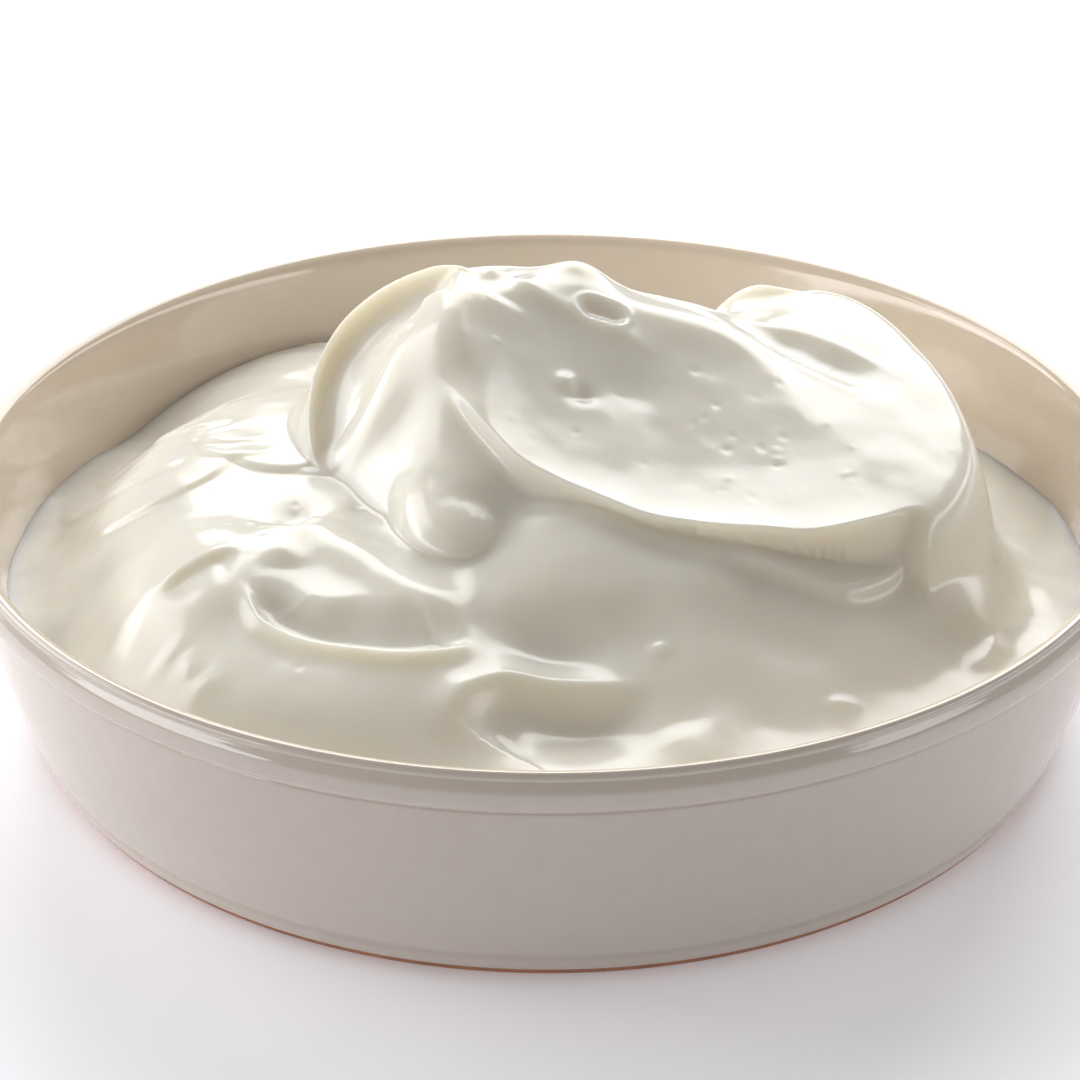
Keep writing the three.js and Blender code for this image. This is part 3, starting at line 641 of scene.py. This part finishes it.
def texture(tree, scale, detail):
    """Noise in the piece's own coordinates."""
    place = tree.nodes.new("ShaderNodeTexCoord")
    noise = tree.nodes.new("ShaderNodeTexNoise")
    noise.inputs["Scale"].default_value = scale
    noise.inputs["Detail"].default_value = detail
    tree.links.new(place.outputs["Object"], noise.inputs["Vector"])
    return noise.outputs["Fac"]


# The part of a noise texture's range that is used
NOISE_LOW = 0.3
NOISE_HIGH = 0.7


def spread(tree, source, low, high, shader_input):
    """Sends a texture to an input as a value between two limits."""
    ramp = tree.nodes.new("ShaderNodeMapRange")
    ramp.inputs["From Min"].default_value = NOISE_LOW
    ramp.inputs["From Max"].default_value = NOISE_HIGH
    ramp.inputs["To Min"].default_value = low
    ramp.inputs["To Max"].default_value = high
    tree.links.new(source, ramp.inputs["Value"])
    tree.links.new(ramp.outputs["Result"], shader_input)


def tint(tree, source, dark, light, shader_input):
    """Sends a texture to an input as a colour between two others."""
    ramp = tree.nodes.new("ShaderNodeValToRGB")
    ramp.color_ramp.elements[0].position = NOISE_LOW
    ramp.color_ramp.elements[1].position = NOISE_HIGH
    ramp.color_ramp.elements[0].color = (*dark, 1)
    ramp.color_ramp.elements[1].color = (*light, 1)
    tree.links.new(source, ramp.inputs["Fac"])
    tree.links.new(ramp.outputs["Color"], shader_input)


def roughen(tree, source, depth, shader):
    """Fine unevenness that is too small for the mesh, with its depth in metres."""
    bump = tree.nodes.new("ShaderNodeBump")
    bump.inputs["Strength"].default_value = 1.0
    bump.inputs["Distance"].default_value = depth
    tree.links.new(source, bump.inputs["Height"])
    tree.links.new(bump.outputs["Normal"], shader.inputs["Normal"])


def cream_material():
    made, tree, shader = material("sour_cream", (0.76, 0.735, 0.66), 0.16)
    tint(tree, texture(tree, 140, 3), (0.76, 0.735, 0.655), (0.775, 0.75, 0.675), shader.inputs["Base Color"])
    spread(tree, texture(tree, 260, 4), 0.17, 0.22, shader.inputs["Roughness"])
    roughen(tree, texture(tree, 900, 2), 0.00001, shader)
    shader.inputs["Subsurface Weight"].default_value = 0.7
    shader.inputs["Subsurface Radius"].default_value = (1.0, 0.8, 0.5)
    shader.inputs["Subsurface Scale"].default_value = 0.006
    return made


def glaze_material(name, dark, light):
    made, tree, shader = material(name, light, 0.16)
    tint(tree, texture(tree, 380, 5), dark, light, shader.inputs["Base Color"])
    spread(tree, texture(tree, 120, 2), 0.07, 0.13, shader.inputs["Roughness"])
    roughen(tree, texture(tree, 130, 2), 0.00005, shader)
    shader.inputs["IOR"].default_value = 1.6
    return made


def clay_material():
    made, tree, shader = material("bare_clay", (0.26, 0.14, 0.09), 0.7)
    tint(tree, texture(tree, 500, 4), (0.30, 0.125, 0.065), (0.40, 0.175, 0.095), shader.inputs["Base Color"])
    roughen(tree, texture(tree, 900, 3), 0.0001, shader)
    return made


def floor_material():
    made, tree, shader = material("light_table", (0.92, 0.92, 0.97), 0.6)
    tint(tree, texture(tree, 60, 3), (0.91, 0.91, 0.96), (0.93, 0.93, 0.98), shader.inputs["Base Color"])
    spread(tree, texture(tree, 200, 3), 0.58, 0.62, shader.inputs["Roughness"])
    shader.inputs["Emission Color"].default_value = (0.95, 0.95, 1.0, 1)
    shader.inputs["Emission Strength"].default_value = 0.19
    return made


LIT_POINT = Vector((0, 0, DISH_HEIGHT * MM))


def area_light(name, place, width, height, power):
    """A soft panel, in metres and watts, that faces the middle of the rim and isn't seen itself."""
    light = bpy.data.lights.new(name, "AREA")
    light.shape = "RECTANGLE"
    light.size = width
    light.size_y = height
    light.energy = power
    lamp = bpy.data.objects.new(name, light)
    bpy.context.scene.collection.objects.link(lamp)
    lamp.location = place
    lamp.rotation_euler = (LIT_POINT - Vector(place)).to_track_quat("-Z", "Y").to_euler()
    lamp.visible_camera = False


# The pieces
dish = revolve("glazed_dish", trace(outside_profile() + inside_profile(), PROFILE_STATIONS), DISH_SIDES)
# One glaze in two copies: the outside copy is darkened with painted shade, the inside copy is lighter and
# more tan with painted warm bounce light
dish.data.materials.append(glaze_material("glaze_outside_painted_shade", (0.55, 0.485, 0.43), (0.57, 0.505, 0.45)))
dish.data.materials.append(glaze_material("glaze_inside_painted_warm_light", (0.70, 0.595, 0.475), (0.72, 0.61, 0.49)))
dish.data.materials.append(clay_material())
OUTSIDE, INSIDE, CLAY = range(3)
for face in dish.data.polygons:
    middle = face.center / MM
    faces_in = face.normal.x * middle.x + face.normal.y * middle.y < 0
    if middle.z < CLAY_HEIGHT:
        face.material_index = CLAY
    elif faces_in or math.hypot(middle.x, middle.y) < INSIDE_RADIUS:
        face.material_index = INSIDE
    else:
        face.material_index = OUTSIDE
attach(dish, "root")
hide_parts("bowl")

heap = make_cream()
heap.data.materials.append(cream_material())
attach(heap, "root")
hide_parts("sour_cream")

# Floor, lights and camera
FLOOR_HALF = 3000
FLOOR_CORNERS = [(-1, -1, 0), (1, -1, 0), (1, 1, 0), (-1, 1, 0)]
floor = add_mesh("floor", np.array(FLOOR_CORNERS) * FLOOR_HALF, [(0, 1, 2, 3)])
floor.data.materials.append(floor_material())

world = bpy.data.worlds.new("studio")
bpy.context.scene.world = world
world.use_nodes = True
world.node_tree.nodes["Background"].inputs["Color"].default_value = (1, 0.96, 0.90, 1)
world.node_tree.nodes["Background"].inputs["Strength"].default_value = 0.27

area_light("key_panel", (-0.74, 0.26, 0.46), width=0.6, height=0.5, power=3.2)
area_light("back_panel", (0.08, 0.80, 0.58), width=1.0, height=0.7, power=10.5)
area_light("left_strip", (-0.75, -0.02, 0.19), width=1.3, height=0.16, power=3.4)
area_light("right_strip", (0.75, 0.05, 0.24), width=1.3, height=0.14, power=2.0)

# The camera, worked out from the outline of the rim and the foot in the photograph
FOCAL_PIXELS = 2800
FRAME_PIXELS = 1080
SENSOR = 36
VIEW_PITCH = 28.6
VIEW_BACK = 0.2981
VIEW_UP = 0.1509
FRAME_SHIFT = 8.3

camera_data = bpy.data.cameras.new("camera")
camera_data.sensor_width = SENSOR
camera_data.lens = FOCAL_PIXELS / FRAME_PIXELS * SENSOR
camera_data.shift_x = -FRAME_SHIFT / FRAME_PIXELS
camera = bpy.data.objects.new("camera", camera_data)
bpy.context.scene.collection.objects.link(camera)
camera.location = (0, -VIEW_BACK, VIEW_UP + DISH_HEIGHT * MM)
camera.rotation_euler = (math.radians(90 - VIEW_PITCH), 0, 0)
bpy.context.scene.camera = camera

bpy.context.scene.view_settings.view_transform = "Standard"
